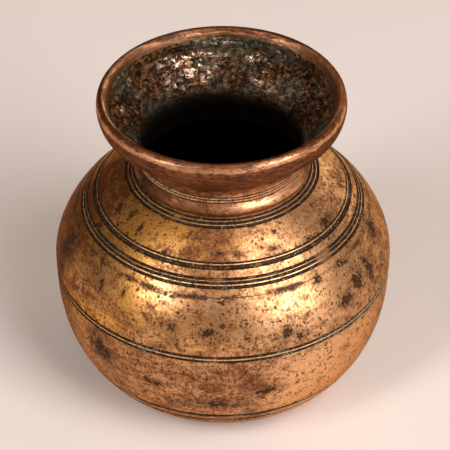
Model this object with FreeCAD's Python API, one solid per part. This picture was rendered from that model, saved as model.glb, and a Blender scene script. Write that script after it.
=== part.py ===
import FreeCAD, Part
import math
import os

# A round-bodied metal water pot with a flared neck and a heavy lip, in millimetres.
# The pot stands on z = 0, its axis is Z, and the origin is the centre of its base.
# Every piece is turned round, so each one is a section in the XZ plane that is
# revolved once about the axis.

# Body
BELLY_RADIUS = 65.0
BELLY_HEIGHT = 53.5          # height of the widest plane
LOWER_DEPTH = 62.3           # half-axis of the curve below the widest plane
LOWER_SQUARENESS = 2.64      # exponent of that curve, 2 would be an ellipse
UPPER_DEPTH = 48.25
UPPER_SQUARENESS = 1.75
BOTTOM_ARC_START = 7.1       # height where the lower curve turns into the bottom arc
BASE_RECESS = 0.8            # depth of the turned hollow inside the resting ring
REST_RING_WIDTH = 4.0
WALL = 2.0

# Neck
NECK_ROOT_Z = 92.9           # where the shoulder meets the collar
COLLAR_BULGE = (33.6, 95.2)  # radius and height of the fullest point of the collar
THROAT_RADIUS = 31.9
THROAT_BOTTOM_Z = 98.0
THROAT_TOP_Z = 101.6
FLARE_FILLET = 6.0
FLARE_TOP = (43.6, 115.6)    # radius and height where the neck runs into the lip

# Lip, as radius and height of the points that its section passes
LIP_UNDERSIDE = (44.9, 116.1)
LIP_LOWER_OUTER = (45.9, 118.3)
LIP_WIDEST = (46.4, 121.5)
LIP_SHOULDER = (45.8, 124.4)
LIP_CREST = (44.2, 125.7)
LIP_INNER_TOP = (42.7, 124.2)
LIP_INNER_EDGE = (42.0, 122.0)
LIP_INNER_FOOT = (41.6, 119.0)

# Brazed step-lap joints
FILM = 0.2                   # thickness of the braze metal
BELLY_SEAM_Z = 74.0
BELLY_LAP = 6.0
NECK_LAP = 4.0
LIP_LAP = 1.5

# Turned grooves, as height of the centre, width and depth
GROOVES_NEAR_BASE = [(13.1, 1.2, 0.45), (17.8, 1.4, 0.5)]
GROOVES_BELOW_BELLY = [(50.7, 1.2, 0.45), (52.7, 1.3, 0.5)]
GROOVES_LOWER_SHOULDER = [(76.92, 1.0, 0.4), (78.09, 1.0, 0.4), (79.13, 1.0, 0.4)]
GROOVES_UPPER_SHOULDER = [(82.05, 1.7, 0.5), (83.08, 0.6, 0.3)]
GROOVES_NECK_ROOT = [(90.87, 1.0, 0.45), (91.64, 1.0, 0.45), (92.34, 0.9, 0.4)]
GROOVES_THROAT = [(98.6, 0.5, 0.2), (99.8, 0.5, 0.2), (101.0, 0.5, 0.2)]

CURVE_STEPS = 10             # points that a formula curve is drawn through
CLEAR = 1.0                  # how far a cutting shape runs past a surface
WHOLE_TURN = 360


def at(radius, z):
    """A point of the section."""
    return FreeCAD.Vector(radius, 0, z)


def line(start, end):
    return Part.LineSegment(at(*start), at(*end)).toShape()


def arc(start, middle, end):
    return Part.Arc(at(*start), at(*middle), at(*end)).toShape()


def smooth(points):
    """One smooth curve through the points."""
    curve = Part.BSplineCurve()
    curve.interpolate([at(*point) for point in points])
    return curve.toShape()


def section(edges):
    """A flat face inside a closed run of edges."""
    return Part.Face(Part.Wire(edges))


def body_radius(z):
    """Radius of the outer face of the body at height z."""
    lower = z < BELLY_HEIGHT
    depth = LOWER_DEPTH if lower else UPPER_DEPTH
    squareness = LOWER_SQUARENESS if lower else UPPER_SQUARENESS
    reach = abs(z - BELLY_HEIGHT) / depth
    return BELLY_RADIUS * (1 - reach ** squareness) ** (1 / squareness)


def body_slope(z):
    """Unit direction along the outer face at height z, going up."""
    step = 0.01
    rise = 2 * step
    run = body_radius(z + step) - body_radius(z - step)
    length = math.hypot(run, rise)
    return run / length, rise / length


def body_point(z, depth=0.0):
    """A point of the body wall at height z, the given depth inside the outer face."""
    along = body_slope(z)
    return body_radius(z) - depth * along[1], z + depth * along[0]


def spread(low, high):
    """Heights from low to high, closer together at the ends."""
    middle = (low + high) / 2
    half = (high - low) / 2
    turns = [math.pi * i / CURVE_STEPS for i in range(CURVE_STEPS + 1)]
    return [middle - half * math.cos(turn) for turn in turns]


def bottom_arc(depth):
    """Arc from the flat bottom up to the lower curve, and the end of the flat."""
    along = body_slope(BOTTOM_ARC_START)
    tilt = math.atan2(along[1], along[0])
    radius = BOTTOM_ARC_START / (1 - math.cos(tilt))
    centre = body_radius(BOTTOM_ARC_START) - radius * math.sin(tilt)
    inner = radius - depth
    points = []
    for share in (0.0, 0.5, 1.0):
        turn = tilt * share
        points.append((centre + inner * math.sin(turn), radius - inner * math.cos(turn)))
    return arc(*points), points[0]


def flare(depth):
    """Fillet out of the throat and the straight cone up to the lip, and its two ends."""
    throat = THROAT_RADIUS - depth
    fillet = FLARE_FILLET + depth
    centre = (THROAT_RADIUS + FLARE_FILLET, THROAT_TOP_Z)
    reach = math.hypot(FLARE_TOP[0] - centre[0], FLARE_TOP[1] - centre[1])
    bearing = math.atan2(FLARE_TOP[1] - centre[1], FLARE_TOP[0] - centre[0])
    touch = bearing + math.acos(FLARE_FILLET / reach)
    half_way = (math.pi + touch) / 2
    middle = (centre[0] + fillet * math.cos(half_way), centre[1] + fillet * math.sin(half_way))
    top = (centre[0] + fillet * math.cos(touch), centre[1] + fillet * math.sin(touch))
    end = (FLARE_TOP[0] + depth * math.cos(touch), FLARE_TOP[1] + depth * math.sin(touch))
    edges = [arc((throat, THROAT_TOP_Z), middle, top), line(top, end)]
    return edges, end


def pot_section():
    """Section of the whole metal of the pot, before it is parted into pieces."""
    outer_bottom, foot = bottom_arc(0)
    inner_bottom, floor = bottom_arc(WALL)
    hollow = foot[0] - REST_RING_WIDTH
    hollow_edge = hollow - 2 * BASE_RECESS
    outer_flare, outer_end = flare(0)
    inner_flare, inner_end = flare(WALL)
    root = body_point(NECK_ROOT_Z)
    inner_root = body_point(NECK_ROOT_Z, WALL)
    inner_bulge = (COLLAR_BULGE[0] - WALL, COLLAR_BULGE[1])
    edges = [
        line((0, BASE_RECESS), (hollow_edge, BASE_RECESS)),
        line((hollow_edge, BASE_RECESS), (hollow, 0)),
        line((hollow, 0), foot),
        outer_bottom,
        smooth([body_point(z) for z in spread(BOTTOM_ARC_START, BELLY_HEIGHT)]),
        smooth([body_point(z) for z in spread(BELLY_HEIGHT, NECK_ROOT_Z)]),
        arc(root, COLLAR_BULGE, (THROAT_RADIUS, THROAT_BOTTOM_Z)),
        line((THROAT_RADIUS, THROAT_BOTTOM_Z), (THROAT_RADIUS, THROAT_TOP_Z)),
    ]
    edges += outer_flare
    edges.append(line(outer_end, LIP_UNDERSIDE))
    outside = [LIP_UNDERSIDE, LIP_LOWER_OUTER, LIP_WIDEST, LIP_SHOULDER, LIP_CREST]
    inside = [LIP_INNER_TOP, LIP_INNER_EDGE, LIP_INNER_FOOT]
    edges.append(smooth(outside + inside))
    edges.append(line(LIP_INNER_FOOT, inner_end))
    edges += inner_flare
    edges += [
        line((THROAT_RADIUS - WALL, THROAT_TOP_Z), (THROAT_RADIUS - WALL, THROAT_BOTTOM_Z)),
        arc((THROAT_RADIUS - WALL, THROAT_BOTTOM_Z), inner_bulge, inner_root),
        smooth([body_point(z, WALL) for z in spread(BELLY_HEIGHT, NECK_ROOT_Z)]),
        smooth([body_point(z, WALL) for z in spread(BOTTOM_ARC_START, BELLY_HEIGHT)]),
        inner_bottom,
        line(floor, (0, floor[1])),
        line((0, floor[1]), (0, BASE_RECESS)),
    ]
    return section(Part.__sortEdges__(edges))


def groove(radius, z, out, width, depth):
    """Section of a round-bottomed tool that cuts one groove, out being the way out."""
    tool = (width ** 2 / 4 + depth ** 2) / (2 * depth)
    lift = tool - depth
    centre = at(radius + lift * out[0], z + lift * out[1])
    circle = Part.Circle(centre, FreeCAD.Vector(0, 1, 0), tool)
    return section([circle.toShape()])


def grooves():
    """All the grooves of the body and the throat."""
    tools = []
    rows = GROOVES_NEAR_BASE + GROOVES_BELOW_BELLY + GROOVES_LOWER_SHOULDER
    rows += GROOVES_UPPER_SHOULDER + GROOVES_NECK_ROOT
    for z, width, depth in rows:
        along = body_slope(z)
        tools.append(groove(body_radius(z), z, (along[1], -along[0]), width, depth))
    for z, width, depth in GROOVES_THROAT:
        tools.append(groove(THROAT_RADIUS, z, (1, 0), width, depth))
    return tools


def step_lap(start, along, inward, lap, depth):
    """Section of the braze film of a step-lap joint.

    The film goes inward from the outer face at start, runs along the middle of
    the wall for the lap, and goes on inward through the rest of the wall.
    """
    near = depth / 2 - FILM / 2
    far = depth / 2 + FILM / 2
    corners = [
        (0, -CLEAR), (FILM, -CLEAR), (FILM, near), (lap, near),
        (lap, depth + CLEAR), (lap - FILM, depth + CLEAR), (lap - FILM, far), (0, far),
    ]
    points = []
    for run, deep in corners:
        radius = start[0] + run * along[0] + deep * inward[0]
        z = start[1] + run * along[1] + deep * inward[1]
        points.append((radius, z))
    points.append(points[0])
    return section([line(points[i], points[i + 1]) for i in range(len(corners))])


def belly_film():
    """The shoulder's skirt laps over the bowl's thinned edge."""
    along = body_slope(BELLY_SEAM_Z)
    return step_lap(body_point(BELLY_SEAM_Z), along, (-along[1], along[0]), BELLY_LAP, WALL)


def neck_film():
    """The collar's foot laps under the edge of the shoulder's opening."""
    along = body_slope(NECK_ROOT_Z)
    inward = (-along[1], along[0])
    return step_lap(body_point(NECK_ROOT_Z), (-along[0], -along[1]), inward, NECK_LAP, WALL)


def lip_film():
    """The lip ring sits down over the stepped top edge of the neck."""
    return step_lap(FLARE_TOP, (0, 1), (-1, 0), LIP_LAP, WALL)


def build():
    """The pieces of the pot by name."""
    whole = pot_section().cut(grooves())
    films = {
        "belly_braze_seam": belly_film(),
        "neck_braze_seam": neck_film(),
        "rim_braze_seam": lip_film(),
    }
    plates = whole.cut(list(films.values())).Faces
    plates.sort(key=lambda plate: plate.CenterOfMass.z)
    names = ["belly_bowl", "shoulder_shell", "neck_collar", "mouth_rim"]
    if len(plates) != len(names):
        raise ValueError("the joints part the section into the wrong number of pieces")
    faces = dict(zip(names, plates))
    for name, film in films.items():
        faces[name] = whole.common(film).Faces[0]
    axis = FreeCAD.Vector(0, 0, 1)
    return {name: face.revolve(at(0, 0), axis, WHOLE_TURN) for name, face in faces.items()}


os.makedirs("parts", exist_ok=True)
for name, shape in build().items():
    box = shape.optimalBoundingBox(False)
    heights = f"z {box.ZMin:.2f} to {box.ZMax:.2f}"
    print(f"{name}: {shape.Volume:.0f} mm3, {heights}, out to {box.XMax:.2f}, {shape.isValid()}")
    shape.exportStep("parts/" + name + ".step")
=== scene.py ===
# %% [markdown]
# # A turned kalash water pot
# A kalash is a round household pot for water. This one is old brass gone the colour of
# copper: a round belly, a flared neck and a heavy lip, brazed together from shells and then
# turned on a lathe, which left the sharp bands of grooves. The CAD model holds its size and
# its joints. This lesson gives it the surface of the real thing.
#
# The CAD model is loaded first and never changed, so every later piece can be compared with it.

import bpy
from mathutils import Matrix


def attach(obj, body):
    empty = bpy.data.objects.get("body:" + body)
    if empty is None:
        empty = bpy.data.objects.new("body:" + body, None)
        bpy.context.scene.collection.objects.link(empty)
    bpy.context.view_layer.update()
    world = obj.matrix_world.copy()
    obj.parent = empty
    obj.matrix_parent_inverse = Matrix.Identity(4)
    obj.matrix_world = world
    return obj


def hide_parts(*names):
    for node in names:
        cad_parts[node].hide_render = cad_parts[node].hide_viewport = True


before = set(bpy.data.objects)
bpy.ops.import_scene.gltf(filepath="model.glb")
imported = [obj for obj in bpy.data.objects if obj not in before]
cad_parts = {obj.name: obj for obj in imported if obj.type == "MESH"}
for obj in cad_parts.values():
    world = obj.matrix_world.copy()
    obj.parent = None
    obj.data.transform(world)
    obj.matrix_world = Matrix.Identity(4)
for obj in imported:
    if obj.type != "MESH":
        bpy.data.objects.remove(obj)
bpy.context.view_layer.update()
print("nodes", sorted(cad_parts))

# %% [markdown]
# ## Sizes
# The outline is drawn in millimetres, as a turner would measure it, and turned into metres
# only when it is drawn. Radius is the distance from the axis and height is the distance above
# the table. The belly has no single radius: below its widest plane it is squarer than an
# ellipse, and above it, it is a little flatter, so one formula with an exponent draws both.

# %% Driving sizes
import math

import bpy
import numpy as np
from mathutils import Vector

MM = 0.001
BELLY_RADIUS = 65.0
BELLY_HEIGHT = 53.5
LOWER_CURVE = (62.3, 2.64)     # half-axis and exponent below the widest plane
UPPER_CURVE = (48.25, 1.75)    # the same above it
WALL = 2.0
BOTTOM_ARC_START = 7.1
BASE_RECESS = 0.8
REST_RING_WIDTH = 4.0
NECK_ROOT = 92.9
COLLAR_BULGE = (33.6, 95.2)
THROAT_RADIUS = 31.9
THROAT_HEIGHTS = (98.0, 101.6)
FLARE_FILLET = 6.0
FLARE_TOP = (43.6, 115.6)
BELLY_SEAM = 74.0
BELLY_LAP = 6.0
NECK_LAP = 4.0
FILM = 0.2                     # braze metal between two pieces
TURN_STEPS = 360


def body_radius(height):
    """Radius of the outer face of the body."""
    half_axis, exponent = LOWER_CURVE if height < BELLY_HEIGHT else UPPER_CURVE
    reach = abs(height - BELLY_HEIGHT) / half_axis
    return BELLY_RADIUS * (1 - reach ** exponent) ** (1 / exponent)


def body_slope(height):
    """Unit direction along the outer face, going up."""
    step = 0.01
    run = body_radius(height + step) - body_radius(height - step)
    length = math.hypot(run, 2 * step)
    return run / length, 2 * step / length


def body_point(height, depth=0.0):
    """A point of the wall, the given depth inside the outer face."""
    run, rise = body_slope(height)
    return body_radius(height) - depth * rise, height + depth * run


print("belly", 2 * BELLY_RADIUS, "mm across,", "at the seam", round(2 * body_radius(BELLY_SEAM), 1))

# %% [markdown]
# ## Turned grooves
# A turner presses a narrow tool against the spinning pot and leaves a round-bottomed groove.
# Two or three side by side leave thin ridges between them, and those catch the light. The
# grooves are cut into the outline itself: each gets closely spaced points, and the plain
# stretches between them get few. Every point also remembers how deep it lies in a groove and
# whether it is on a ridge, because dirt stays in grooves and hands polish ridges.

# %% Cut grooves into an outline
GROOVE_STATIONS = (-1.25, -1.0, -0.86, -0.6, -0.3, 0.0, 0.3, 0.6, 0.86, 1.0, 1.25)
RIDGE_REACH = 0.75             # a ridge is this close to a groove on both sides, in mm
OUTSIDE, INSIDE = 0.0, 1.0


def along(points):
    """Distance run along a line of points."""
    steps = np.hypot(*np.diff(points, axis=0).T)
    return np.concatenate([[0.0], np.cumsum(steps)])


def plain(points, side=OUTSIDE):
    """Outline points with no groove: radius, height, groove depth, ridge, side, dirt."""
    return [(radius, height, 0.0, 0.0, side, 0.0) for radius, height in points]


def turned(points, grooves, spacing):
    """Space points evenly along an outline and cut the grooves (height, width, depth) in it."""
    points = np.array(points)
    run = along(points)
    centres = [(run[np.argmin(abs(points[:, 1] - height))], width, depth)
               for height, width, depth in grooves]
    stations = list(np.linspace(0, run[-1], max(2, int(run[-1] / spacing) + 1)))
    for centre, width, depth in centres:
        stations = [s for s in stations if abs(s - centre) > 0.7 * width or s in (0, run[-1])]
    for centre, width, depth in centres:
        stations += [centre + share * width / 2 for share in GROOVE_STATIONS]
    stations = sorted(s for s in set(stations) if 0 <= s <= run[-1])
    outline = []

    def place(s):
        return np.array([np.interp(s, run, line) for line in points.T])

    for s in stations:
        radius, height = place(s)
        run_r, run_z = place(min(s + 0.2, run[-1])) - place(max(s - 0.2, 0))
        length = math.hypot(run_r, run_z)
        sunk = 0.0
        dirt = 0.0
        for centre, width, depth in centres:
            share = 2 * abs(s - centre) / width
            sunk = max(sunk, depth * max(0.0, 1 - share ** 2) ** 0.6)
            dirt = max(dirt, min(1.0, depth / 0.3) * max(0.0, 1 - share ** 6))
        before = any(0 < s - centre < width / 2 + RIDGE_REACH for centre, width, depth in centres)
        after = any(0 < centre - s < width / 2 + RIDGE_REACH for centre, width, depth in centres)
        ridge = 1.0 if before and after and sunk < 0.05 else 0.0
        outline.append((radius - sunk * run_z / length, height + sunk * run_r / length,
                        sunk, ridge, OUTSIDE, dirt))
    return outline


test_line = turned([(10, 0), (10, 5), (10, 10)], [(5, 1, 0.4)], 1)
print("a straight line with one groove has", len(test_line), "points")

# %% [markdown]
# ## Turn an outline into a shell
# A lathe turns an outline about an axis, and Blender's Spin does the same. The outline is drawn
# as by hand: a plane is merged into one point, and the point is moved to the start and extruded
# from place to place. The bowl's outline starts and ends on the axis, where the many copies of a
# point are merged. Spin can leave the faces pointing inwards, so the normals are recalculated.

# %% Draw and spin
MERGE_DISTANCE = 2e-6


def draw_outline(name, outline, closed):
    """Draw an outline in the XZ plane as a chain of edges."""
    bpy.ops.object.select_all(action="DESELECT")
    bpy.ops.mesh.primitive_plane_add(size=MM, location=(0, 0, 0))
    piece = bpy.context.object
    piece.name = name
    piece.data.name = name
    bpy.ops.object.mode_set(mode="EDIT")
    bpy.ops.mesh.select_all(action="SELECT")
    bpy.ops.mesh.merge(type="CENTER")
    places = [Vector((radius * MM, 0, height * MM)) for radius, height, *_ in outline]
    bpy.ops.transform.translate(value=places[0])
    for before, after in zip(places, places[1:]):
        bpy.ops.mesh.extrude_region_move(TRANSFORM_OT_translate={"value": after - before})
    if closed:
        bpy.ops.mesh.select_all(action="DESELECT")
        bpy.ops.object.mode_set(mode="OBJECT")
        piece.data.vertices[0].select = True
        piece.data.vertices[len(places) - 1].select = True
        bpy.ops.object.mode_set(mode="EDIT")
        bpy.ops.mesh.edge_face_add()
    return piece


def spin_outline(piece):
    """Turn the drawn outline once about the axis and close the shell."""
    bpy.ops.mesh.select_all(action="SELECT")
    bpy.ops.mesh.spin(steps=TURN_STEPS, angle=2 * math.pi, center=(0, 0, 0), axis=(0, 0, 1))
    bpy.ops.mesh.select_all(action="SELECT")
    bpy.ops.mesh.remove_doubles(threshold=MERGE_DISTANCE)
    bpy.ops.mesh.normals_make_consistent(inside=False)
    bpy.ops.object.mode_set(mode="OBJECT")
    bpy.ops.object.shade_smooth_by_angle(angle=math.radians(50))


# %% [markdown]
# ## Where the stains are
# Most marks on the metal can be scattered by chance, but the largest stains are what you would
# know this pot by, so they are placed one by one. Each is a soft spot on the surface, stretched
# round or up the pot. The spot is written to the mesh, and the material frays it later.

# %% Stain places
STAINS = (   # azimuth from the front in degrees, height, stretch round, stretch up, size in mm
    (8, 60.6, 1.0, 1.0, 2.3), (26, 57.4, 1.0, 1.2, 2.3), (22, 60.5, 1.3, 1.0, 3.0),
    (54, 65.2, 1.0, 1.2, 4.4), (62, 65.0, 1.0, 1.9, 4.0), (47, 62.0, 1.3, 1.0, 3.8),
    (50, 73.6, 1.8, 0.8, 3.0), (77, 72.0, 1.0, 1.5, 4.0), (57, 84.5, 1.4, 1.0, 3.2),
    (44, 83.8, 2.2, 0.6, 2.2), (24, 85.0, 1.6, 0.6, 1.6), (37, 73.6, 1.2, 1.0, 2.4),
    (-1, 72.9, 3.2, 0.6, 2.0), (6, 72.4, 1.4, 0.5, 1.8), (-5, 62.6, 1.4, 1.0, 3.0),
    (-18, 63.6, 2.0, 1.0, 2.4), (-2, 85.3, 1.6, 0.6, 1.7), (7, 85.0, 1.2, 0.6, 1.5),
    (-52, 74.2, 1.0, 1.2, 2.6), (-38, 69.8, 0.7, 1.6, 1.7), (-48, 68.0, 0.8, 1.6, 2.0),
    (-57, 84.0, 1.0, 1.0, 2.6), (-26, 35.0, 2.4, 0.8, 2.6), (-2, 27.0, 4.0, 1.0, 3.0),
    (14, 33.0, 2.6, 0.8, 2.8), (-46, 40.0, 1.6, 1.6, 4.5), (-75, 67.0, 1.0, 1.8, 6.5),
    (-66, 80.0, 1.0, 1.0, 3.6), (-64, 86.5, 0.7, 1.6, 2.6), (-54, 87.5, 0.7, 1.8, 2.4),
    (-45, 86.5, 0.6, 1.6, 2.2), (-27, 83.9, 0.8, 1.2, 1.4), (140, 60.0, 1.6, 1.0, 4.0),
    (-130, 70.0, 1.3, 1.2, 4.4), (176, 36.0, 1.3, 1.2, 4.0), (105, 30.0, 2.0, 1.0, 3.4),
    (-60, 96.5, 1.0, 1.4, 7.0), (38, 109.5, 2.2, 0.8, 4.6), (150, 96.0, 1.6, 1.0, 4.0),
)
NECK_HEIGHTS = (NECK_ROOT, 95.2, 98, 101.6, 105.5, 115.6)
NECK_RADII = (31.5, 33.6, 31.9, 31.9, 33.6, 43.6)


def surface_radius(height):
    """Rough radius of the outer face at any height, for placing marks."""
    if height < NECK_ROOT:
        return body_radius(height)
    return float(np.interp(height, NECK_HEIGHTS, NECK_RADII))


def stain_spots(places):
    """Soft spots at points of a mesh, in mm: 1 at a stain's heart, 0 at twice its size."""
    spots = np.zeros(len(places))
    for azimuth, height, round_stretch, up_stretch, size in STAINS:
        turn = math.radians(azimuth - 90)
        out = np.array((math.cos(turn), math.sin(turn), 0))
        away = places - out * surface_radius(height) - np.array((0, 0, height))
        sideways = away @ np.array((-math.sin(turn), math.cos(turn), 0))
        upwards = np.hypot(away @ out, away[:, 2])
        gap = np.hypot(sideways / round_stretch, upwards / up_stretch) / size
        spots = np.maximum(spots, 1 - gap / 2)
    return spots


print(len(STAINS), "stains placed")

# %% [markdown]
# ## The hand in the surface
# Beating, knocks and scouring leave an old pot wavy by a tenth of a millimetre or two, too
# little to see in the outline and plenty to bend a reflection. Every shell shares one wave, so
# two shells that meet stay flush. It only goes inwards, so the pot keeps its size.
#
# The same pass makes each groove deeper on one side and nearly worn out on another, and writes
# the marks of the outline to the mesh as attributes.

# %% Waves, groove wear and marks
WAVES = ((2, 0.021, 0.4, 0.30), (3, 0.047, 2.1, 0.25), (5, 0.083, 4.0, 0.2), (8, 0.131, 1.2, 0.15),
         (11, 0.19, 5.1, 0.1))   # times round, turns per mm of height, phase, share
WAVE_DEPTH = 0.16
CALM_HEIGHT = 4.0              # below this, and nearer the axis than the next, nothing waves
CALM_RADIUS = 20.0
CALM_FADE = 10.0
VERTICES_AT_ONCE = 4096


def wave(azimuth, height):
    """A smooth value from -1 to 1 that varies round and up the pot."""
    total = 0.0
    for times, rise, phase, share in WAVES:
        total = total + share * np.sin(times * azimuth + 2 * math.pi * rise * height + phase)
    return total


def groove_wear(azimuth, height):
    """How much of a groove's depth is left, from 0.6 to 1."""
    slow = np.sin(3 * azimuth + 1.7 * height) + np.sin(7 * azimuth - 2.3 * height + 1.0)
    quick = np.sin(23 * azimuth + 5.1 * height) + np.sin(41 * azimuth + 3.7 * height)
    return 0.84 + 0.06 * slow + 0.02 * quick


def hand_finish(piece, outline):
    """Move the vertices by the shared wave and write the marks; returns which vertices are inside."""
    marks = np.array(outline)
    mesh = piece.data
    places = np.empty(3 * len(mesh.vertices))
    mesh.vertices.foreach_get("co", places)
    places = places.reshape(-1, 3) / MM
    radius = np.hypot(places[:, 0], places[:, 1])
    nearest = np.empty(len(radius), dtype=int)
    for start in range(0, len(radius), VERTICES_AT_ONCE):
        part = slice(start, start + VERTICES_AT_ONCE)
        gap = (radius[part, None] - marks[:, 0]) ** 2 + (places[part, 2, None] - marks[:, 1]) ** 2
        nearest[part] = gap.argmin(axis=1)
    azimuth = np.arctan2(places[:, 1], places[:, 0])
    height = places[:, 2]
    depth, ridge, inside, dirt = marks[nearest, 2:].T
    fill = depth * (1 - groove_wear(azimuth, height))
    shift = fill - WAVE_DEPTH * (1 + wave(azimuth, height)) / 2
    calm_up = np.clip((height - CALM_HEIGHT) / CALM_FADE, 0, 1)
    calm_out = np.clip((radius - CALM_RADIUS) / CALM_FADE, 0, 1)
    scale = 1 + shift * (calm_up * calm_out) / np.maximum(radius, 1.0)
    places[:, 0] *= scale
    places[:, 1] *= scale
    mesh.vertices.foreach_set("co", (places * MM).ravel())
    written = {"groove": dirt, "ridge": ridge, "stain": stain_spots(places)}
    for name, values in written.items():
        attribute = mesh.attributes.new(name, "FLOAT", "POINT")
        attribute.data.foreach_set("value", np.clip(values, 0, 1))
    mesh.update()
    return inside


def shell(name, node, outline, closed=True):
    """A finished shell that stands for a CAD node and rides with the pot."""
    piece = draw_outline(name, outline, closed)
    spin_outline(piece)
    inside = hand_finish(piece, outline)
    corners = np.empty(len(piece.data.loops), dtype=np.int32)
    piece.data.loops.foreach_get("vertex_index", corners)
    for face in piece.data.polygons:
        first = corners[face.loop_start:face.loop_start + face.loop_total]
        face.material_index = 1 if inside[first].max() > 0.5 else 0
    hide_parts(node)
    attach(piece, "root")
    triangles = sum(face.loop_total - 2 for face in piece.data.polygons)
    print(name, len(outline), "outline points,", triangles, "triangles")
    return piece


def heights(low, high, spacing):
    """Evenly spaced heights from low to high."""
    return np.linspace(low, high, max(2, int(abs(high - low) / spacing) + 1))


# %% [markdown]
# ## The belly bowl
# The bowl is everything below the brazed seam. Two pairs of grooves run round it, one just
# under the widest plane and one near the base. Its upper edge is thinned to half, and the
# shoulder's skirt laps over that, as a tinsmith joins two shells. The unseen base has a
# narrow ring to stand on and a shallow hollow inside the ring, turned so that it doesn't rock.

# %% Belly bowl
BOWL_GROOVES = [(13.0, 2.5, 0.6), (17.6, 2.7, 0.65), (50.7, 1.4, 0.5), (52.6, 1.6, 0.5)]
INNER_SPACING = 2.6
OUTER_SPACING = 1.25


def lap(seam, steps, way=1):
    """Outline points of a lap joint, each a run along the wall from its seam and a depth."""
    run, rise = body_slope(seam)
    radius, height = body_point(seam)
    return plain([(radius + way * far * run - deep * rise, height + way * far * rise + deep * run)
                  for far, deep in steps])


def bottom_arc(depth, steps):
    """Arc from the flat bottom up to the lower curve."""
    run, rise = body_slope(BOTTOM_ARC_START)
    tilt = math.atan2(rise, run)
    radius = BOTTOM_ARC_START / (1 - math.cos(tilt))
    centre = body_radius(BOTTOM_ARC_START) - radius * math.sin(tilt)
    turns = np.linspace(0, tilt, steps)
    return [(centre + (radius - depth) * math.sin(turn), radius - (radius - depth) * math.cos(turn))
            for turn in turns]


def bowl_outline():
    """Closed outline of the bowl, from the axis round to the axis."""
    foot = bottom_arc(0, 2)[0][0]
    hollow = foot - REST_RING_WIDTH
    far = WALL / 2 + FILM / 2
    end = BELLY_LAP - FILM
    outline = plain([(0.001, BASE_RECESS), (hollow / 3, BASE_RECESS), (hollow / 1.5, BASE_RECESS),
                     (hollow - 2 * BASE_RECESS, BASE_RECESS), (hollow, 0), (foot - 2, 0)])
    wall = bottom_arc(0, 40) + [body_point(z) for z in heights(BOTTOM_ARC_START, BELLY_SEAM, 0.1)[1:]]
    outline += turned(wall, BOWL_GROOVES, OUTER_SPACING)
    outline += lap(BELLY_SEAM, [(0, far), (end, far), (end, WALL)])
    inner = [body_point(z, WALL) for z in heights(BELLY_SEAM + 2.5, BOTTOM_ARC_START, INNER_SPACING)]
    inner += bottom_arc(WALL, 7)[::-1][1:]
    inner += [(24.0, WALL), (12.0, WALL), (0.001, WALL)]
    return outline + plain(inner, INSIDE)


belly_bowl = shell("belly_bowl_shell", "belly_bowl", bowl_outline(), closed=False)

# %% [markdown]
# ## The shoulder
# The shoulder closes the belly in towards the neck. It carries the pot's best turning: three
# grooves at the root of the neck, a wide dark groove with a narrow one above it, and three
# more below. Its skirt laps over the bowl, and its top edge laps over the foot of the neck.

# %% Shoulder shell
SHOULDER_GROOVES = [(76.92, 1.32, 0.42), (78.09, 1.25, 0.42), (79.13, 1.22, 0.42),
                    (82.02, 1.95, 0.5), (83.1, 0.8, 0.32),
                    (90.87, 1.3, 0.45), (91.64, 1.3, 0.45), (92.34, 1.1, 0.4)]


def shoulder_outline():
    """Closed outline of the shoulder, up the outside and down the inside."""
    near = WALL / 2 - FILM / 2
    lowest = BELLY_SEAM + FILM * body_slope(BELLY_SEAM)[1]
    highest = NECK_ROOT - FILM * body_slope(NECK_ROOT)[1]
    outer = [body_point(z) for z in heights(lowest, highest, 0.05)]
    outline = turned(outer, SHOULDER_GROOVES, OUTER_SPACING)
    outline += lap(NECK_ROOT, [(FILM, near), (NECK_LAP, near), (NECK_LAP, WALL)], way=-1)
    inner = [body_point(z, WALL) for z in heights(89.0, BELLY_SEAM + 5.5, INNER_SPACING)]
    outline += plain(inner, INSIDE)
    return outline + lap(BELLY_SEAM, [(BELLY_LAP, WALL), (BELLY_LAP, near), (FILM, near)])


shoulder_shell = shell("shoulder_turned_shell", "shoulder_shell", shoulder_outline())

# %% [markdown]
# ## The neck
# The neck is one turned piece: a foot tucked under the shoulder, a full round collar, a narrow
# throat with three fine lines, and a cone that opens to the lip. The outside and the inside
# differ most here, because the outside is handled and the inside never is.

# %% Neck collar
THROAT_GROOVES = [(98.5, 0.55, 0.22), (99.7, 0.55, 0.22), (100.9, 0.55, 0.22)]
FLARE_GROOVES = [(104.4, 0.4, 0.08), (106.2, 0.4, 0.08), (109.3, 0.4, 0.07), (114.3, 0.5, 0.12)]


def flare(depth, steps):
    """Fillet out of the throat and the cone up to the lip, the given depth in the wall."""
    fillet = FLARE_FILLET + depth
    centre = (THROAT_RADIUS + FLARE_FILLET, THROAT_HEIGHTS[1])
    reach = math.hypot(FLARE_TOP[0] - centre[0], FLARE_TOP[1] - centre[1])
    bearing = math.atan2(FLARE_TOP[1] - centre[1], FLARE_TOP[0] - centre[0])
    touch = bearing + math.acos(FLARE_FILLET / reach)
    turns = np.linspace(math.pi, touch, steps)
    points = [(centre[0] + fillet * math.cos(turn), centre[1] + fillet * math.sin(turn))
              for turn in turns]
    return points + [(FLARE_TOP[0] + depth * math.cos(touch), FLARE_TOP[1] + depth * math.sin(touch))]


def through(start, middle, end, steps):
    """Points of the arc through three places."""
    curve = [Vector(place) for place in (start, middle, end)]
    bend = 2 * curve[1] - (curve[0] + curve[2]) / 2
    shares = np.linspace(0, 1, steps)
    return [tuple((1 - t) ** 2 * curve[0] + 2 * t * (1 - t) * bend + t ** 2 * curve[2]) for t in shares]


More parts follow.
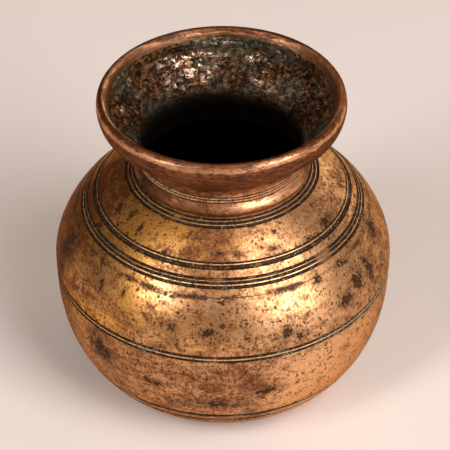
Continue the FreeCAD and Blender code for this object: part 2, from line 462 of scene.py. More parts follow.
def neck_outline():
    """Closed outline of the neck, up the outside and down the inside."""
    far = WALL / 2 + FILM / 2
    end = NECK_LAP - FILM
    outline = lap(NECK_ROOT, [(end, WALL), (end, far), (0, far)], way=-1)
    outer = through(body_point(NECK_ROOT), COLLAR_BULGE, (THROAT_RADIUS, THROAT_HEIGHTS[0]), 30)
    outer += [(THROAT_RADIUS, z) for z in heights(*THROAT_HEIGHTS, 0.1)[1:]]
    outer += flare(0, 40)[1:-1]
    last = outer[-1]
    outer += [tuple(p) for p in np.linspace(last, FLARE_TOP, 60)[1:]]
    outline += turned(outer, THROAT_GROOVES + FLARE_GROOVES, 0.8)
    step = FLARE_TOP[0] - far
    outline += plain([(step, FLARE_TOP[1]), (step, FLARE_TOP[1] + 1.3), (42.1, FLARE_TOP[1] + 1.3)])
    inner = flare(WALL, 9)
    inner_line = [tuple(p) for p in np.linspace((42.1, 116.7), inner[-2], 9)]
    inner_line += inner[-3::-1]
    inner_line += through((THROAT_RADIUS - WALL, THROAT_HEIGHTS[0]),
                          (COLLAR_BULGE[0] - WALL, COLLAR_BULGE[1]), body_point(NECK_ROOT, WALL), 6)
    return outline + plain(inner_line, INSIDE)


neck_collar = shell("neck_flared_collar", "neck_collar", neck_outline())

# %% [markdown]
# ## The lip
# The lip is a heavy ring, thicker than any other part, because it takes every knock and the
# weight of the pot when it is lifted. Its outline is a smooth curve through a few places, with
# two fine turned lines low on the outer face. Years of hands have rounded and polished its
# upper edge.

# %% Lip
LIP_PLACES = [(44.1, 115.8), (44.9, 116.1), (45.9, 118.3), (46.4, 121.5), (45.8, 124.4),
              (44.2, 125.6), (42.7, 124.2), (42.0, 122.0), (41.7, 119.0), (42.1, 117.2)]
LIP_GROOVES = [(117.2, 0.5, 0.14), (118.6, 0.5, 0.12)]


def smooth_line(places, steps):
    """A Catmull-Rom curve through the places."""
    places = np.array([places[0]] + list(places) + [places[-1]], dtype=float)
    points = []
    for a, b, c, d in zip(places, places[1:], places[2:], places[3:]):
        for t in np.linspace(0, 1, steps, endpoint=False):
            points.append(tuple(0.5 * (2 * b + (c - a) * t + (2 * a - 5 * b + 4 * c - d) * t ** 2
                                       + (3 * b - a - 3 * c + d) * t ** 3)))
    return points + [tuple(places[-1])]


def lip_outline():
    """Closed outline of the lip ring, whose foot steps over the neck's top edge."""
    ring = smooth_line(LIP_PLACES, 24)
    crest = max(range(len(ring)), key=lambda i: ring[i][1])
    outline = turned(ring[:crest + 1], LIP_GROOVES, 0.5)
    outline += turned(ring[crest:], [], 0.6)[1:]
    near = FLARE_TOP[0] - (WALL / 2 - FILM / 2)
    return outline + plain([(near, FLARE_TOP[1] + 1.5), (near, FLARE_TOP[1] + FILM)])


mouth_rim = shell("mouth_lip_ring", "mouth_rim", lip_outline())

# %% [markdown]
# ## A short way to build materials
# A material is a small network of nodes. `put` adds a node and gives each input a number, a
# colour or a wire from another node. A `Wire` is what leaves a node, and ordinary signs work
# on it: `cloud * 0.4 + 0.1` adds one node that multiplies and one that adds. `ramp` turns a
# value into a soft mask between two limits, and `toward` is a mask of one side of the pot.

# %% Wires and nodes
class Wire:
    """What leaves a node. Arithmetic on it adds Math nodes to the same tree."""

    def __init__(self, socket):
        self.socket = socket
        self.tree = socket.id_data

    def __add__(self, other):
        return calc("ADD", self, other)

    def __sub__(self, other):
        return calc("SUBTRACT", self, other)

    def __rsub__(self, other):
        return calc("SUBTRACT", other, self)

    def __mul__(self, other):
        return calc("MULTIPLY", self, other)

    def __rtruediv__(self, other):
        return calc("DIVIDE", other, self)

    def clamped(self):
        """The same value, kept from 0 to 1."""
        self.socket.node.use_clamp = True
        return self


def join(value, socket):
    """Let a socket follow a wire, or give it a number or a colour."""
    if isinstance(value, Wire):
        value.tree.links.new(value.socket, socket)
    else:
        socket.default_value = value


def put(tree, kind, inputs=None, output=0, **settings):
    """Add a shader node and return the wire from one of its outputs."""
    made = tree.nodes.new("ShaderNode" + kind)
    for name, value in settings.items():
        setattr(made, name, value)
    for key, value in (inputs or {}).items():
        join(value, made.inputs[key])
    return Wire(made.outputs[output])


def tree_of(values):
    """The tree of the first wire among the values."""
    return next(value.tree for value in values if isinstance(value, Wire))


def calc(operation, *values):
    """Arithmetic on wires and numbers."""
    return put(tree_of(values), "Math", dict(enumerate(values)), operation=operation)


def vector(operation, *values, output=0):
    """Arithmetic on places and directions."""
    return put(tree_of(values), "VectorMath", dict(enumerate(values)), output, operation=operation)


# %% [markdown]
# Every material below is written in the next few words.

# %% Masks, mixes and noise
def here(tree):
    """The place on the pot."""
    return put(tree, "TexCoord", output="Object")


def height_of(tree):
    """The height above the table."""
    return put(tree, "SeparateXYZ", {0: here(tree)}, "Z")


def mark(tree, name):
    """A mark that the turning wrote to the mesh."""
    return put(tree, "Attribute", output="Fac", attribute_name=name)


def flattened(place):
    """The place seen from above, measured from the axis."""
    return vector("MULTIPLY", place, (1, 1, 0))


def scaled(direction, amount):
    """A direction made longer or shorter."""
    return put(direction.tree, "VectorMath", {0: direction, "Scale": amount}, operation="SCALE")


def ramp(value, low, high):
    """A soft mask: 0 below low, 1 above high."""
    limits = {"Value": value, "From Min": low, "From Max": high}
    return put(value.tree, "MapRange", limits, interpolation_type="SMOOTHSTEP")


def toward(tree, azimuth, low, high):
    """A soft mask of one side of the pot, in degrees from the front, positive to the right."""
    turn = math.radians(azimuth - 90)
    facing = vector("NORMALIZE", flattened(here(tree)))
    side = vector("DOT_PRODUCT", facing, (math.cos(turn), math.sin(turn), 0), output="Value")
    return ramp(side, low, high)


def tint(mask, below, above):
    """Mix two colours by a mask."""
    return put(mask.tree, "Mix", {0: mask, 6: below, 7: above}, 2, data_type="RGBA")


def blend(mask, below, above):
    """Mix two values by a mask."""
    return put(mask.tree, "Mix", {0: mask, 2: below, 3: above}, data_type="FLOAT")


def darkest(*masks):
    """The strongest of several masks."""
    total = masks[0]
    for mask in masks[1:]:
        total = calc("MAXIMUM", total, mask)
    return total


def noise(place, scale, detail=2.0, roughness=0.5, seed=None, output="Fac"):
    """Cloudy noise. A seed picks one of many patterns."""
    inputs = {"Vector": place, "Scale": scale, "Detail": detail, "Roughness": roughness}
    if seed is None:
        return put(place.tree, "TexNoise", inputs, output)
    inputs["W"] = seed
    return put(place.tree, "TexNoise", inputs, output, noise_dimensions="4D")


# %% [markdown]
# An effect is a node group that several materials share. It gives only masks, values or
# colours, and each material places it with values of its own.

# %% Effects
def start_effect(name, outputs, **inputs):
    """Start a node group with named sockets; returns it and its inputs as wires."""
    group = bpy.data.node_groups.new(name, "ShaderNodeTree")
    for label, value in inputs.items():
        socket = group.interface.new_socket(label, in_out="INPUT", socket_type="NodeSocketFloat")
        socket.default_value = value
    for label in outputs:
        kind = "NodeSocketColor" if label == "Colour" else "NodeSocketFloat"
        group.interface.new_socket(label, in_out="OUTPUT", socket_type=kind)
    given = group.nodes.new("NodeGroupInput").outputs
    return group, {label: Wire(given[label]) for label in inputs}


def end_effect(group, **results):
    """Join the results to the group's outputs."""
    sockets = group.nodes.new("NodeGroupOutput").inputs
    for label, value in results.items():
        join(value, sockets[label])
    print("effect", group.name, len(group.nodes), "nodes")
    return group


def use(tree, group, **values):
    """Place an effect with its own values; returns its outputs as wires."""
    made = tree.nodes.new("ShaderNodeGroup")
    made.node_tree = group
    for label, value in values.items():
        join(value, made.inputs[label])
    return {socket.name: Wire(socket) for socket in made.outputs}


# %% [markdown]
# ## Effect: turning lines
# Scouring with sand and turning on the lathe leave hair-fine lines round the pot. The noise
# changes fast with height and radius and hardly at all round the pot, so it draws rings. They
# are broken here and there, because nobody scours evenly.

# %% Turning lines
def make_turning_lines():
    """Rings of fine lines round the Z axis."""
    group, given = start_effect("turning_lines", ["Value"], Lines=900.0, Drift=6.0)
    flat = flattened(here(group))
    radius = vector("LENGTH", flat, output="Value")
    drift = scaled(vector("NORMALIZE", flat), given["Drift"])
    lift = put(group, "CombineXYZ", {"Z": height_of(group) * given["Lines"]})
    place = vector("ADD", drift, lift)
    return end_effect(group, Value=noise(place, 1.0, 3.0, 0.6, seed=radius * given["Lines"]))


turning_lines = make_turning_lines()

# %% [markdown]
# ## Effect: rub marks
# Cloths and sand also rub up and down. These marks are short and upright, so the noise is
# squeezed round the pot and stretched along the height.

# %% Rub marks
def make_rub_marks():
    """Short upright streaks."""
    group, given = start_effect("rub_marks", ["Value"], Width=0.0012, Length=0.012)
    across = 1.0 / given["Width"]
    squeeze = put(group, "CombineXYZ", {"X": across, "Y": across, "Z": 1.0 / given["Length"]})
    place = vector("MULTIPLY", here(group), squeeze)
    return end_effect(group, Value=noise(place, 1.0, 4.0, 0.6))


rub_marks = make_rub_marks()

# %% [markdown]
# ## Effect: tarnish
# Brass darkens in cloudy patches where it is damp and seldom touched. One large noise places
# the patches, and a finer one eats into their edges.

# %% Tarnish patches
def make_tarnish_patches():
    """Cloudy patches with ragged edges."""
    group, given = start_effect("tarnish_patches", ["Mask"], Size=0.02, Amount=0.5, Softness=0.1,
                                Ragged=0.3, Flatten=1.0, Seed=0.0)
    squash = put(group, "CombineXYZ", {"X": 1.0, "Y": 1.0, "Z": given["Flatten"]})
    place = vector("MULTIPLY", here(group), squash)
    scale = 1.0 / given["Size"]
    broad = noise(place, scale, 3.0, seed=given["Seed"])
    fine = noise(place, scale * 9.0, 5.0, 0.65, seed=given["Seed"])
    total = broad + (fine - 0.5) * given["Ragged"]
    middle = 1.0 - given["Amount"]
    return end_effect(group, Mask=ramp(total, middle - given["Softness"], middle + given["Softness"]))


tarnish_patches = make_tarnish_patches()


def patches(tree, size, amount, soft, ragged, seed, flatten=1.0):
    """The mask of tarnish patches of this size, in metres."""
    return use(tree, tarnish_patches, Size=size, Amount=amount, Softness=soft, Ragged=ragged,
               Flatten=flatten, Seed=seed)["Mask"]


# %% [markdown]
# ## Effect: pitting
# Salt and water leave pin-prick pits filled with brown oxide. Each Voronoi cell holds one pit,
# and the cell's own random colour decides how large it is. A second, larger noise
# gathers the pits in flocks, which is how corrosion spreads.

# %% Pits
def make_pitting():
    """Small round pits of many sizes, gathered in flocks."""
    group, given = start_effect("pitting", ["Mask"], Spacing=0.002, Largest=0.45, Flock=0.02,
                                Share=0.5, Seed=0.0)
    place = here(group)
    wobble = vector("SUBTRACT", noise(place, 700.0, output="Color"), (0.5, 0.5, 0.5))
    moved = vector("ADD", place, scaled(wobble, 0.002))
    cells = {"Vector": moved, "W": given["Seed"], "Scale": 1.0 / given["Spacing"]}
    away = put(group, "TexVoronoi", cells, "Distance", voronoi_dimensions="4D")
    luck = put(group, "SeparateColor", {0: Wire(away.socket.node.outputs["Color"])})
    flock = noise(place, 1.0 / given["Flock"], 3.0, seed=given["Seed"])
    edge = 1.0 - given["Share"]
    flock = ramp(flock, edge - 0.15, edge + 0.15)
    size = calc("POWER", luck, 1.6) * given["Largest"] * flock
    mask = ramp(away, size + 0.05, size * 0.55)
    return end_effect(group, Mask=mask * ramp(size, 0.03, 0.1))


pitting = make_pitting()


def pits(tree, spacing, largest, flock, share, seed=0.0):
    """The mask of pits; share is how much of the pot their flocks cover."""
    return use(tree, pitting, Spacing=spacing, Largest=largest, Flock=flock, Share=share,
               Seed=seed)["Mask"]


# %% [markdown]
# ## Effect: stains
# One noise frays the border of each soft spot on the mesh, and a finer one breaks it into grains
# of oxide, with a brown halo round its heart.

# %% Stains
def make_old_stains():
    """Ragged, grainy stains from the soft spots on the mesh."""
    group, given = start_effect("old_stains", ["Mask"], Ragged=3.2)
    place = here(group)
    share = 2.0 - mark(group, "stain") * 2.0
    total = share + (noise(place, 280.0, 6.0, 0.75) - 0.5) * given["Ragged"]
    heart = ramp(total, 1.05, 0.15)
    grain = ramp(noise(place, 1100.0, 3.0) + heart * 0.3, 0.6, 0.74) * ramp(share, 1.9, 0.9)
    halo = ramp(total, 1.9, 0.4) * 0.55 * ramp(share, 1.98, 1.6)
    return end_effect(group, Mask=darkest(grain, halo, heart * 0.78))


old_stains = make_old_stains()

# %% [markdown]
# ## Effect: what the grooves hold
# Grooves collect black grime and, where water stands, green verdigris. The thin ridges between
# them are rubbed bright. Pale glint specks in the grooves are painted highlights. Noise breaks
# all of it up, so no groove is dirty all the way round.

# %% Groove grime and polished ridges
DAMP_SIDE = (0.86, -0.5, 0.0)


def make_groove_grime():
    """Grime, verdigris, glints and polish from the groove and ridge marks."""
    outputs = ["Grime", "Green", "Glint", "Polish"]
    group, given = start_effect("groove_grime", outputs, Share=0.5, Size=0.012)
    place = here(group)
    groove = mark(group, "groove")
    crumbs = noise(place, 1400.0, 3.0)
    grime = ramp(groove + (crumbs - 0.5) * 0.9, 0.15, 0.45)
    worn_off = ramp(noise(place, 120.0, 4.0), 0.58, 0.72) * 0.45
    side = vector("DOT_PRODUCT", vector("NORMALIZE", place), DAMP_SIDE, output="Value")
    damp = noise(place, 1.0 / given["Size"]) + ramp(side, 0.3, 0.75) * 0.3
    edge = 1.0 - given["Share"]
    green = ramp(damp, edge, edge + 0.12) * ramp(crumbs, 0.5, 0.62) * ramp(groove, 0.1, 0.5)
    # Painted highlight: pale glint specks scattered in the grooves.
    glint = ramp(noise(place, 1900.0), 0.63, 0.7) * groove
    polish = mark(group, "ridge") * ramp(crumbs, 0.4, 0.55)
    return end_effect(group, Grime=grime * (1.0 - worn_off), Green=green, Glint=glint, Polish=polish)


groove_grime = make_groove_grime()

# %% [markdown]
# ## What all the metal shares
# The alloy is rich in copper, so it reads between brass and copper: bright orange where hands
# rub it, browner where they don't, golden in places. The order of the layers is the order of
# the pot's life: metal, tarnish, pits, stains, and what the grooves hold last. Tarnish and
# grime are thin films, so light still meets metal under them. Verdigris is a green salt, not
# metal, and the pale glints are painted highlights; both lose most of the metallic value.

# %% Colours and layers of the metal
BRIGHT_COPPER = (0.93, 0.52, 0.262, 1)
LIP_COPPER = (0.88, 0.45, 0.235, 1)
TARNISH_BROWN = (0.225, 0.084, 0.031, 1)
GOLDEN = (0.90, 0.45, 0.10, 1)
STAIN_BROWN = (0.070, 0.029, 0.0135, 1)
GRIME = (0.042, 0.024, 0.012, 1)
VERDIGRIS = (0.13, 0.24, 0.17, 1)
PIT_BROWN = (0.095, 0.040, 0.019, 1)
GLINT = (0.62, 0.55, 0.42, 1)
EDGE_COLOUR = (0.62, 0.40, 0.25, 1)


def start_material(name, oiled=False):
    """An empty material; oiled metal has the thin film that hands leave and a warm edge."""
    material = bpy.data.materials.new(name)
    material.use_nodes = True
    shader = material.node_tree.nodes["Principled BSDF"].inputs
    shader["Specular IOR Level"].default_value = 0.15
    if oiled:
        shader["Coat Weight"].default_value = 0.1
        shader["Coat Roughness"].default_value = 0.3
        shader["Specular Tint"].default_value = EDGE_COLOUR
    return material, material.node_tree


def finish_metal(material, colour, rough, metallic, height, bump=0.4, distance=0.0002):
    """Join colour, roughness, metal and a bump to the material's shader."""
    tree = material.node_tree
    shader = tree.nodes["Principled BSDF"].inputs
    relief = put(tree, "Bump", {"Height": height, "Strength": bump, "Distance": distance})
    join(colour, shader["Base Color"])
    join(rough, shader["Roughness"])
    join(metallic, shader["Metallic"])
    join(relief, shader["Normal"])
    print(material.name, len(tree.nodes), "nodes")
    return material


def soiled(colour, marks, grooves, glint):
    """Lay marks, grime, verdigris, glints and polish over a colour, in that order."""
    colour = tint(marks, colour, STAIN_BROWN)
    colour = tint(grooves["Grime"], colour, GRIME)
    colour = tint(grooves["Green"] * 0.8, colour, VERDIGRIS)
    colour = tint(grooves["Glint"] * glint, colour, GLINT)
    return tint(grooves["Polish"] * 0.8, colour, BRIGHT_COPPER)


def dullness(marks, grooves, *bloom):
    """How dull the surface is, and how metallic that leaves it."""
    dull = darkest(marks, grooves["Grime"])
    non_metal_share = darkest(grooves["Green"], grooves["Glint"], *bloom) * 0.7
    return dull, (1.0 - dull * 0.12 - non_metal_share).clamped()


print("colours: bright", BRIGHT_COPPER[:3], "tarnish", TARNISH_BROWN[:3])

# %% [markdown]
# ## Aged brass for the body
# The bowl and the shoulder share one material, so the stains run over the seam between them as
# they do on the pot. The tone has a side: amber on the left. Painted shade darkens the left edge,
# the front low down and a narrow band down the front of the shoulder, and a painted highlight
# lightens the lower right. Pits are thickest below the shoulder, where water splashes.

# %% Body material
def make_body_brass():
    """Aged copper-rich brass with tarnish, pits, stains, grimy grooves, painted shade and a painted
    highlight.
    """
    material, tree = start_material("body_brass_with_painted_light", oiled=True)
    height = height_of(tree)
    lines = use(tree, turning_lines, Lines=1300.0, Drift=5.0)["Value"]
    rubs = use(tree, rub_marks, Width=0.0011, Length=0.010)["Value"]
    grooves = use(tree, groove_grime, Share=0.35)

    gold = patches(tree, size=0.045, amount=0.5, soft=0.12, ragged=0.2, seed=3)
    gold = gold * (toward(tree, -55, 0.3, 0.9) * 0.75 + 0.25)
    gold = gold * (ramp(height, 0.046, 0.057) * 0.7 + 0.3)
    colour = tint(gold, BRIGHT_COPPER, GOLDEN)

    cloud = patches(tree, size=0.022, amount=0.47, soft=0.12, ragged=0.5, flatten=1.7, seed=1)
    mottle = patches(tree, size=0.0045, amount=0.48, soft=0.12, ragged=0.8, flatten=1.8, seed=7)
    grain = patches(tree, size=0.0011, amount=0.44, soft=0.08, ragged=0.5, seed=17)
    low_down = ramp(height, 0.053, 0.044)
    high_up = ramp(height, 0.073, 0.078)
    # Painted shade: browner at the front low down, where the dark gap between the soft boxes is
    # reflected.
    front_gap_shade = toward(tree, 0, 0.86, 1.0) * low_down * 0.16
    # Painted shade: a narrow brown band down the front of the shoulder, the reflected gap between the
    # soft boxes.
    shoulder_gap_shade = toward(tree, -6, 0.95, 0.995) * high_up * 0.32
    # Painted highlight: less brown on the lower right, where the lit floor is reflected.
    lower_right_highlight = toward(tree, 42, 0.86, 0.98) * low_down * 0.6
    brown = cloud * 0.36 + mottle * 0.4 + grain * 0.42 + ramp(rubs, 0.42, 0.68) * 0.24
    # Painted shade: browner towards the left edge, where the dark room is reflected.
    brown = brown + toward(tree, -88, 0.86, 1.0) * 0.55
    brown = (brown + (front_gap_shade + shoulder_gap_shade - lower_right_highlight)).clamped()
    colour = tint(brown, colour, TARNISH_BROWN)
    colour = tint(ramp(lines, 0.35, 0.65) * 0.16, colour, TARNISH_BROWN)

    splashed = toward(tree, -30, 0.8, 0.97) * 0.08 + 0.14
    splashed = ramp(height, 0.070, 0.058) * splashed
    pinprick = pits(tree, spacing=0.0010, largest=0.78, flock=0.010, share=splashed + 0.6)
    pitted = pits(tree, spacing=0.0021, largest=0.52, flock=0.016, share=splashed + 0.5, seed=4)
    colour = tint(pinprick * 0.9, colour, PIT_BROWN)
    smudge = patches(tree, size=0.009, amount=0.37, soft=0.06, ragged=0.8, flatten=1.6, seed=5)
    broken = patches(tree, size=0.0055, amount=0.5, soft=0.09, ragged=0.9, seed=9)
    from_seam = calc("ABSOLUTE", height - BELLY_SEAM * MM)
    seam = ramp(from_seam, 0.0016, 0.0003) * (broken + 0.25)
    stain = use(tree, old_stains)["Mask"]
    marks = darkest(smudge * 0.5, pitted * 0.9, stain, seam * 0.75)
    colour = soiled(colour, marks, grooves, glint=0.7)

    dull, metallic = dullness(marks, grooves)
    rough = brown * 0.2 + 0.31 + dull * 0.35
    relief = lines * 0.4 - marks * 0.5 + rubs * 0.6
    return finish_metal(material, colour, rough, metallic, relief, bump=0.45)


aged_body_brass = make_body_brass()

# %% [markdown]
# ## Brass of the neck
# The neck is the same alloy with a longer history of handling: polished to a band on the full
# collar, brown and finely lined on the flare, and green in the lines of the throat. All of it
# but the right side is browned with painted shade, so the right side reads as lit by the right soft
# box.

# %% Neck material
def make_neck_brass():
    """Brass that is bright on the collar and brown on the flare, with painted shade away from the
    right.
    """
    material, tree = start_material("neck_brass_with_painted_shade", oiled=True)
    lines = use(tree, turning_lines, Lines=1500.0, Drift=3.0)["Value"]
    broad_lines = use(tree, turning_lines, Lines=420.0, Drift=1.5)["Value"]
    grooves = use(tree, groove_grime, Share=0.55)

    cloud = patches(tree, size=0.016, amount=0.5, soft=0.1, ragged=0.7, flatten=2.0, seed=2)
    grain = patches(tree, size=0.0021, amount=0.47, soft=0.05, ragged=1.0, flatten=1.5, seed=19)
    flared = ramp(height_of(tree), 0.1005, 0.104)
    # Painted shade: browner everywhere but the right side, the side the right soft box lights.
    shade_off_right = (1.0 - toward(tree, 36, 0.72, 0.96)) * (0.62 - flared * 0.32)
    streak = ramp(broad_lines, 0.42, 0.58) * flared * 0.5
    brown = (cloud * 0.5 + flared * 0.12 + shade_off_right + streak).clamped()
    brown = (brown + grain * 0.34).clamped()
    colour = tint(brown, LIP_COPPER, TARNISH_BROWN)
    colour = tint(grain * (flared * 0.55 + 0.12), colour, STAIN_BROWN)
    colour = tint(ramp(lines, 0.4, 0.65) * 0.35, colour, TARNISH_BROWN)

    smudge = patches(tree, size=0.008, amount=0.42, soft=0.06, ragged=0.9, flatten=2.2, seed=6)
    pitted = pits(tree, spacing=0.0018, largest=0.5, flock=0.016, share=0.5, seed=8)
    stain = use(tree, old_stains)["Mask"]
    marks = darkest(smudge * 0.6, pitted * 0.8, stain * 0.95)
    colour = soiled(colour, marks, grooves, glint=0.6)
    bloom = stain * toward(tree, 38, 0.9, 0.97) * 0.8
    colour = tint(bloom, colour, VERDIGRIS)

    dull, metallic = dullness(marks, grooves, bloom)
    rough = brown * 0.2 + 0.34 + dull * 0.35
    return finish_metal(material, colour, rough, metallic, lines * 0.4 + broad_lines - marks)


neck_brass = make_neck_brass()

# %% [markdown]
# ## Patina inside
# The inside was never polished. It is brown-black and crusty from water, with green specks and
# flakes where the crust has come away and bright metal shows. Below the upper neck it is painted
# black for shade, and the flakes gather on the back left, in a band where the highlight falls, a
# painted highlight. The crust also covers the inner face of the lip, so it is an effect that
# two materials share.

# %% Inner crust
# The crust colours are the inside's own oxide, darkened further to carry painted shade inside the pot.
CRUST_AND_SHADE_BLACK = (0.009, 0.0045, 0.0025, 1)
CRUST_AND_SHADE_BROWN = (0.125, 0.055, 0.023, 1)
RUST = (0.34, 0.115, 0.035, 1)
DAMP_GREEN = (0.085, 0.11, 0.075, 1)
BARE_METAL = (0.98, 0.70, 0.48, 1)
SHADE_BLACK = (0.006, 0.0035, 0.002, 1)


def make_inner_crust_and_shade():
    """Colour, roughness, metal and relief of the dark crust with its bright flakes, and painted shade
    deeper in.
    """
    outputs = ["Colour", "Roughness", "Metal", "Height"]
    group, given = start_effect("inner_crust_and_shade", outputs, Flakes=0.4, Green=0.4)
    height = height_of(group)
    crust = patches(group, size=0.0013, amount=0.45, soft=0.04, ragged=1.1, seed=11)
    rust = patches(group, size=0.011, amount=0.52, soft=0.08, ragged=0.7, seed=16)
    where = patches(group, size=0.013, amount=0.5, soft=0.03, ragged=0.6, flatten=1.5, seed=18)
    # Painted highlight: extra bare flakes gather in a band on the back left, where the soft box's
    # highlight falls.
    highlit_flake_band = ramp(height, 0.1035, 0.107) * ramp(height, 0.1165, 0.1135)
    highlit_flake_band = highlit_flake_band * toward(group, -150, 0.84, 0.97)
    flakes = patches(group, size=0.0023, amount=given["Flakes"], soft=0.004, ragged=1.5,
                     flatten=1.9, seed=12)
    flakes = flakes * darkest(where, highlit_flake_band)
    specks = pits(group, spacing=0.0009, largest=0.46, flock=0.014, share=0.55, seed=13)
    damp = toward(group, 166, 0.86, 0.98) * ramp(height, 0.111, 0.117)
    green = patches(group, size=0.012, amount=given["Green"] + damp * 0.16, soft=0.06,
                    ragged=0.9, seed=14)
    green = green * (crust * 0.55 + 0.25)
    # Painted shade: below the upper neck the inside turns black, and no flakes show there.
    lit = ramp(height, 0.100, 0.1125)
    bare = darkest(flakes, specks) * lit
    colour = tint(crust, CRUST_AND_SHADE_BLACK, CRUST_AND_SHADE_BROWN)
    colour = tint(rust * crust, colour, RUST)
    colour = tint(green, colour, DAMP_GREEN)
    colour = tint(bare, colour, BARE_METAL)
    colour = tint(1.0 - lit, colour, SHADE_BLACK)
    metal = (bare * 0.28 + 0.72 - green * 0.6).clamped()
    return end_effect(group, Colour=colour, Roughness=0.6 - bare * 0.36, Metal=metal,
                      Height=crust + bare)


inner_crust_and_shade = make_inner_crust_and_shade()


def make_inner_patina_and_shade():
    """The dark crust of the inside, with painted shade deeper in."""
    material, tree = start_material("inner_patina_and_shade")
    crust = use(tree, inner_crust_and_shade, Flakes=0.42, Green=0.45)
    return finish_metal(material, crust["Colour"], crust["Roughness"], crust["Metal"], crust["Height"],
                        bump=0.9, distance=0.0008)


inner_patina_and_shade = make_inner_patina_and_shade()

# %% [markdown]
# ## Worn lip, with painted highlights
# Hands lift the pot by its lip, so two bands of it are rubbed bright: the outer shoulder and
# the inner edge. The bands are painted highlights as well: they lie where the soft boxes'
# highlights fall on the round lip, and the inner band is wider at the left and right. The flat
# crest between them is dark red-brown, the outer side is brown with fine lines, and below the
# inner edge the crust begins. The bands are masks of height and radius, and noise nibbles at
# their borders.

# %% Lip material
LIP_BROWN = (0.26, 0.095, 0.038, 1)
LINE_BROWN = (0.11, 0.038, 0.016, 1)
GRAIN_BROWN = (0.055, 0.02, 0.01, 1)


def make_lip_brass():
    """Two bright bands, rubbed and painted as highlights, a dark crest, a brown side and crust on the
    inner face.
    """
    material, tree = start_material("lip_brass_with_painted_highlight", oiled=True)
    place = here(tree)
    radius = vector("LENGTH", flattened(place), output="Value")
    lines = use(tree, turning_lines, Lines=1500.0, Drift=3.0)["Value"]
    broad_lines = use(tree, turning_lines, Lines=500.0, Drift=1.0)["Value"]

    shift = (noise(place, 340.0, 6.0) - 0.5) * 0.0024
    level = height_of(tree) + shift
    # Painted highlight: the bright bands sit where the soft boxes' highlights fall, and the inner band
    # widens at the left and right.
    sides = toward(tree, 90, 0.45, 0.85) + toward(tree, -90, 0.45, 0.85)
    reach = radius + shift * 0.5 - sides * 0.0018
    outer_band = ramp(level, 0.1222, 0.1230) * ramp(level, 0.1249, 0.1241)
    outer_band = outer_band * ramp(radius, 0.0440, 0.0446)
    inner_band = ramp(level, 0.1216, 0.1221) * ramp(reach, 0.0427, 0.0424)
    bright = darkest(outer_band, inner_band)
    inside = ramp(level, 0.1222, 0.1216) * ramp(radius, 0.0436, 0.0432)

    cloud = patches(tree, size=0.016, amount=0.5, soft=0.12, ragged=0.5, seed=21)
    grain = patches(tree, size=0.0019, amount=0.46, soft=0.06, ragged=0.9, flatten=1.6, seed=24)
    brown = (0.95 - bright * 0.95 + cloud * 0.25).clamped()
    colour = tint(brown, LIP_COPPER, LIP_BROWN)
    colour = tint(ramp(broad_lines, 0.42, 0.6) * 0.5, colour, LINE_BROWN)
    colour = tint(grain * (1.0 - bright * 0.6) * 0.75, colour, GRAIN_BROWN)
    smudge = patches(tree, size=0.007, amount=0.44, soft=0.06, ragged=0.9, flatten=2.2, seed=22)
    pitted = pits(tree, spacing=0.0014, largest=0.55, flock=0.012, share=0.5, seed=23)
    marks = darkest(smudge * 0.7, pitted * 0.8)
    grime = use(tree, groove_grime)["Grime"]
    colour = tint(marks, colour, STAIN_BROWN)
    colour = tint(grime, colour, GRIME)
    crust = use(tree, inner_crust_and_shade, Flakes=0.36, Green=0.5)
    colour = tint(inside, colour, crust["Colour"])

    dull = darkest(marks, grime)
    metallic = blend(inside, 1.0 - dull * 0.12, crust["Metal"])
    rough = blend(inside, brown * 0.12 + 0.32 + dull * 0.3, crust["Roughness"])
    relief = lines * 0.4 + bright - marks + inside * crust["Height"]
    return finish_metal(material, colour, rough, metallic, relief)


worn_lip_brass = make_lip_brass()

# %% [markdown]
# ## Braze metal
# The seams are filled with a yellower alloy that melts below brass. Only a hair of it shows,
# and it has tarnished darker than the shells. The three seams stay as the CAD made them.

# %% Braze material
BRAZE_DARK = (0.07, 0.032, 0.015, 1)
BRAZE_LIGHT = (0.20, 0.10, 0.045, 1)
BRAZE_STAIN = (0.04, 0.02, 0.011, 1)


def make_braze_metal():
    """Tarnished filler alloy."""
    material, tree = start_material("braze_finish")
    grain = patches(tree, size=0.002, amount=0.5, soft=0.15, ragged=0.5, seed=31)
    patch = patches(tree, size=0.01, amount=0.45, soft=0.1, ragged=0.6, seed=32)
    colour = tint(patch, tint(grain, BRAZE_DARK, BRAZE_LIGHT), BRAZE_STAIN)
    return finish_metal(material, colour, patch * 0.25 + 0.42, 1.0 - patch * 0.6, grain)


braze_metal = make_braze_metal()

# %% [markdown]
# ## Put the finishes on
# Each shell has two slots: its outer face and its inner face.

# %% Assign materials
FINISHES = (
    (belly_bowl, aged_body_brass, "aged_body_brass"),
    (shoulder_shell, aged_body_brass, "aged_body_brass"),
    (neck_collar, neck_brass, "neck_brass"),
    (mouth_rim, worn_lip_brass, "worn_lip_brass"),
)
for piece, outside, slot_name in FINISHES:
    piece.data.materials.append(outside)
    piece.data.materials.append(inner_patina_and_shade)
for node_name in ("belly_braze_seam", "neck_braze_seam", "rim_braze_seam"):
    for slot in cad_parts[node_name].material_slots:
        slot.material = braze_metal
print("finished", [piece.name for piece, *_ in FINISHES])

# %% [markdown]
# ## Floor
# A plain pale sheet stands in for a studio table. It is stage, not part of the pot.

# %% Studio floor
PAPER_LIGHT = (0.84, 0.755, 0.72, 1)
PAPER_DARK = (0.77, 0.69, 0.655, 1)
PAPER_SHADE = (0.68, 0.63, 0.62, 1)


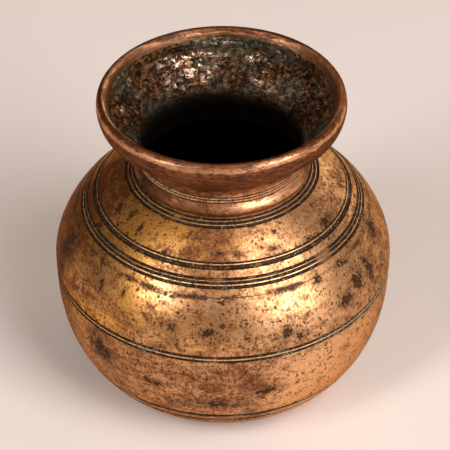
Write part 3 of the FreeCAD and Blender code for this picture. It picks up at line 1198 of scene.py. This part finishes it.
def studio_floor():
    """A wide sheet of pale paper."""
    bpy.ops.object.select_all(action="DESELECT")
    bpy.ops.mesh.primitive_plane_add(size=6, location=(0, 0, 0))
    sheet = bpy.context.object
    sheet.name = "studio_floor"
    material, tree = start_material("pale_paper")
    place = here(tree)
    colour = tint(noise(place, 900.0, 3.0), PAPER_DARK, PAPER_LIGHT)
    shader = tree.nodes["Principled BSDF"].inputs
    join(tint(noise(place, 6.0) * 0.2, colour, PAPER_SHADE), shader["Base Color"])
    shader["Roughness"].default_value = 0.85
    shader["Specular IOR Level"].default_value = 0.2
    sheet.data.materials.append(material)
    return sheet


floor = studio_floor()
print("floor", [round(v, 2) for v in floor.dimensions])

# %% [markdown]
# ## Light
# Polished metal shows what surrounds it, so the lights are chosen for their reflections. Two
# tall soft boxes stand to the left and right of the camera, the right one stronger. The gap
# between them makes the darker band down the middle of the belly. A weaker one behind on the
# right lights the inside of the neck, and a dim warm room fills in.

# %% Soft boxes and room
def soft_box(name, azimuth, elevation, distance, size, watts, colour):
    """A soft box aimed at the pot; azimuth in degrees from the front, to the right positive."""
    turn, lift = math.radians(azimuth - 90), math.radians(elevation)
    place = Vector((math.cos(turn) * math.cos(lift), math.sin(turn) * math.cos(lift), math.sin(lift)))
    lamp = bpy.data.lights.new(name, "AREA")
    lamp.shape = "RECTANGLE"
    lamp.size, lamp.size_y = size
    lamp.energy = watts
    lamp.color = colour
    box = bpy.data.objects.new(name, lamp)
    bpy.context.scene.collection.objects.link(box)
    box.location = place * distance + Vector((0, 0, 0.06))
    box.rotation_euler = place.to_track_quat("Z", "Y").to_euler()
    return box


soft_box("soft_box_right", 46, 36, 2.0, (1.0, 2.1), 47, (1.0, 0.98, 0.97))
soft_box("soft_box_left", -48, 36, 2.0, (0.45, 1.5), 21.5, (1.0, 0.98, 0.97))
soft_box("soft_box_behind", 140, 14, 2.0, (2.2, 0.9), 10, (1.0, 0.97, 0.93))
room = bpy.data.worlds.new("soft_room")
bpy.context.scene.world = room
room.use_nodes = True
sky = room.node_tree
upward = put(sky, "SeparateXYZ", {0: put(sky, "TexCoord", output="Generated")}, "Z")
glow = tint(ramp(upward, 0.1, 1.0), (0.125, 0.086, 0.052, 1), (0.22, 0.16, 0.10, 1))
join(glow, sky.nodes["Background"].inputs["Color"])
bpy.context.scene.view_settings.view_transform = "Standard"

# %% [markdown]
# ## Camera
# The camera looks down at the pot from the front with a long lens, from where you see into
# the mouth. It is turned half a degree, because the pot was not held level.

# %% Camera
CAMERA_PLACE = Vector((0.00085, -0.6043, 0.5460))
LOOK_DOWN = 38.63
LEAN = -0.52

lens = bpy.data.cameras.new("long_lens")
lens.lens = 160
lens.sensor_width = 36
camera = bpy.data.objects.new("camera", lens)
bpy.context.scene.collection.objects.link(camera)
camera.location = CAMERA_PLACE
aim = Vector((0, math.cos(math.radians(LOOK_DOWN)), -math.sin(math.radians(LOOK_DOWN))))
camera.rotation_euler = aim.to_track_quat("-Z", "Y").to_euler()
camera.rotation_euler.rotate_axis("Z", math.radians(LEAN))
bpy.context.scene.camera = camera
print("camera at", [round(v, 3) for v in camera.location])
